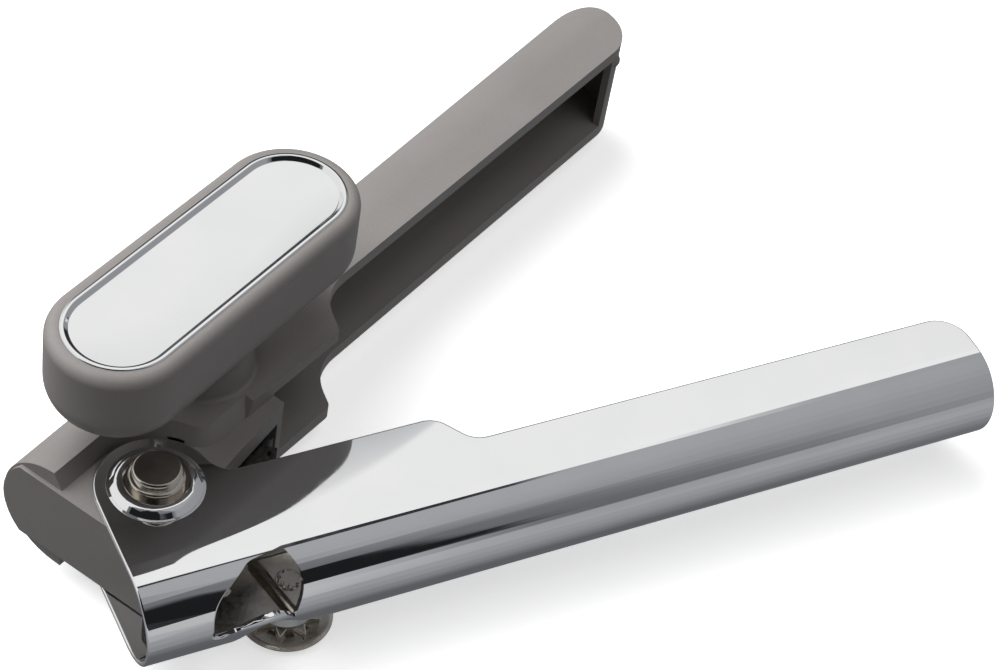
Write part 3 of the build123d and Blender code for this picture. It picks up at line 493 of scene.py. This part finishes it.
def studio_grey(tree, calc, along, across, height):
    """Grey value of the studio in each direction, as bright metal sees it."""
    elevation = calc("DEGREES", calc("ARCSINE", height))
    azimuth = calc("DEGREES", calc("ARCTAN2", across, along))

    def falling(value, low, high):
        return calc("SUBTRACT", 1.0, ranged(tree, value, low, high))

    def band(value, rise_from, rise_to, fall_from, fall_to):
        return calc("MULTIPLY", ranged(tree, value, rise_from, rise_to), falling(value, fall_from, fall_to))

    def mixed(share, first, second):
        return calc("ADD", first, calc("MULTIPLY", share, calc("SUBTRACT", second, first)))

    upwards = ranged(tree, elevation, 0.0, 90.0, "LINEAR")
    below = ramp(tree, ranged(tree, elevation, -90.0, 0.0, "LINEAR"), BELOW_STOPS)
    wall = mixed(ranged(tree, azimuth, *BARE_WALL_STEP), ramp(tree, upwards, WALL_STOPS), BARE_WALL)
    dimming = calc("MULTIPLY", falling(azimuth, *DIM_STEP), DIM_SHARE)
    grey_side = calc("MULTIPLY", ramp(tree, upwards, ABOVE_STOPS), calc("SUBTRACT", 1.0, dimming))
    above = mixed(ranged(tree, azimuth, *WALL_STEP), grey_side, wall)
    from_gap = calc("SUBTRACT", across, calc("MULTIPLY", GAP_SLOPE, along))
    gap = calc("MULTIPLY", band(from_gap, *GAP_ACROSS), band(along, *GAP_ALONG))
    shown = mixed(ranged(tree, elevation, *LEVEL_STEP), below, mixed(gap, above, GAP_GREY))
    for azimuths, elevations, grey in PATCHES.values():
        patch = calc("MULTIPLY", band(azimuth, *azimuths), band(elevation, *elevations))
        shown = mixed(patch, shown, grey)
    return shown, elevation


def make_world():
    """One background for reflections, one for the light on matt surfaces and a plain one for the camera."""
    world = bpy.data.worlds.new("studio")
    bpy.context.scene.world = world
    world.use_nodes = True
    tree = world.node_tree
    tree.nodes.clear()
    calc = calculator(tree)
    along, across, height = separated(tree, "Generated")
    shown, elevation = studio_grey(tree, calc, along, across, height)
    reflected = add_node(tree, "ShaderNodeBackground")
    tree.links.new(ramp(tree, shown, COOL_STOPS), reflected.inputs["Color"])
    soft = add_node(tree, "ShaderNodeBackground")
    climb = ranged(tree, elevation, -90.0, 90.0, "LINEAR")
    tree.links.new(ramp(tree, climb, SOFT_STOPS), soft.inputs["Color"])
    lean = calc("SUBTRACT", calc("MULTIPLY", along, LEAN_ALONG), calc("MULTIPLY", across, LEAN_ACROSS))
    tree.links.new(calc("ADD", 1.0, calc("MULTIPLY", lean, LEAN)), soft.inputs["Strength"])
    plain = add_node(tree, "ShaderNodeBackground", Color=PLAIN_COLOUR)
    path = add_node(tree, "ShaderNodeLightPath")

    def chosen(flag, otherwise, when_set):
        node = add_node(tree, "ShaderNodeMixShader")
        for socket, source in zip(node.inputs, (path.outputs[flag], otherwise, when_set)):
            tree.links.new(source, socket)
        return node.outputs[0]

    lit = chosen("Is Diffuse Ray", reflected.outputs[0], soft.outputs[0])
    output = add_node(tree, "ShaderNodeOutputWorld")
    tree.links.new(chosen("Is Camera Ray", lit, plain.outputs[0]), output.inputs["Surface"])


make_world()


# ---------------------------------------------------------------- lights
def soft_box(name, position, target, size, power):
    """Square lamp that lights the object and isn't seen in the metal."""
    light = bpy.data.lights.new(name, "AREA")
    light.shape = "RECTANGLE"
    light.size = size
    light.size_y = size
    light.energy = power
    obj = bpy.data.objects.new(name, light)
    bpy.context.collection.objects.link(obj)
    obj.location = position
    obj.rotation_mode = "QUATERNION"
    obj.rotation_quaternion = (Vector(target) - Vector(position)).to_track_quat("-Z", "Y")
    obj.visible_glossy = False


soft_box("overhead_soft_box", position=(-0.70, 0.75, 1.30), target=(0.0, 0.0, 0.0), size=1.7, power=41.0)
soft_box("front_soft_box", position=(0.35, -0.45, 1.45), target=(0.0, 0.0, 0.02), size=0.9, power=4.5)

# ---------------------------------------------------------------- camera
CAMERA_FROM_PIVOT = Vector((-0.1406, -0.3330, 0.42315))
CAMERA_FORWARD = Vector((0.3860, 0.5885, -0.7105))
CAMERA_RIGHT = Vector((0.8960, -0.4230, 0.1370))
LENS = 93.8
SENSOR_WIDTH = 36.0
NEAREST = 0.01


def make_camera():
    data = bpy.data.cameras.new("camera")
    data.lens = LENS
    data.sensor_width = SENSOR_WIDTH
    data.clip_start = NEAREST
    camera = bpy.data.objects.new("camera", data)
    bpy.context.collection.objects.link(camera)
    forward = CAMERA_FORWARD.normalized()
    right = (CAMERA_RIGHT - CAMERA_RIGHT.dot(forward) * forward).normalized()
    facing = Matrix((right, right.cross(forward), -forward)).transposed().to_4x4()
    camera.matrix_world = Matrix.Translation(PIVOT + CAMERA_FROM_PIVOT) @ facing
    bpy.context.scene.camera = camera


make_camera()
bpy.context.scene.view_settings.view_transform = "Standard"
